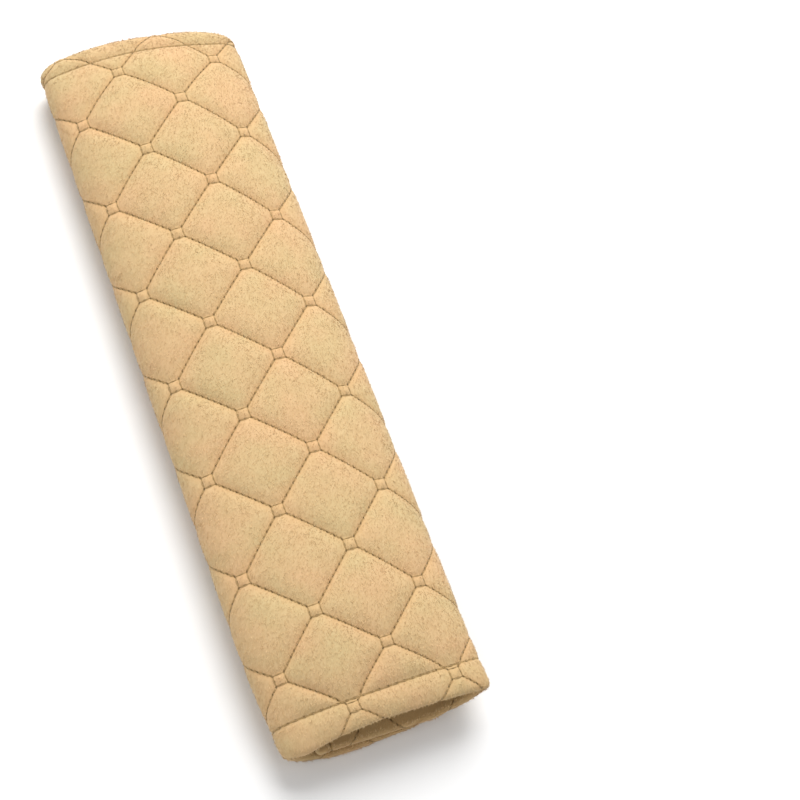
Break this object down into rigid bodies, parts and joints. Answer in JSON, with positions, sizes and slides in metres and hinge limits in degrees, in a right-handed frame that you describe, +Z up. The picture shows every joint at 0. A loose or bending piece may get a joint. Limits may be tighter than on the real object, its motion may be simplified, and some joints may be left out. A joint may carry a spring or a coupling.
{
  "type": "seat belt shoulder pad",
  "caption": "Quilted plush sleeve that wraps round a seat belt, with turned-in hems and a touch-fastening lap along its underside.",
  "frame": {"origin": "middle of the underside, on the surface that the pad lies on", "axes": "+Y along the belt, +X across the pad, +Z up from the surface it lies on"},
  "size_m": [0.0705, 0.259, 0.0255],
  "materials": {
    "plush": "short-pile plush",
    "hook_tape": "woven tape with hooks",
    "loop_tape": "woven tape with brushed loops"
  },
  "bodies": {
    "root": {"quilted_wrap": "plush", "hook_tape": "hook_tape", "loop_tape": "loop_tape"}
  },
  "joints": []
}
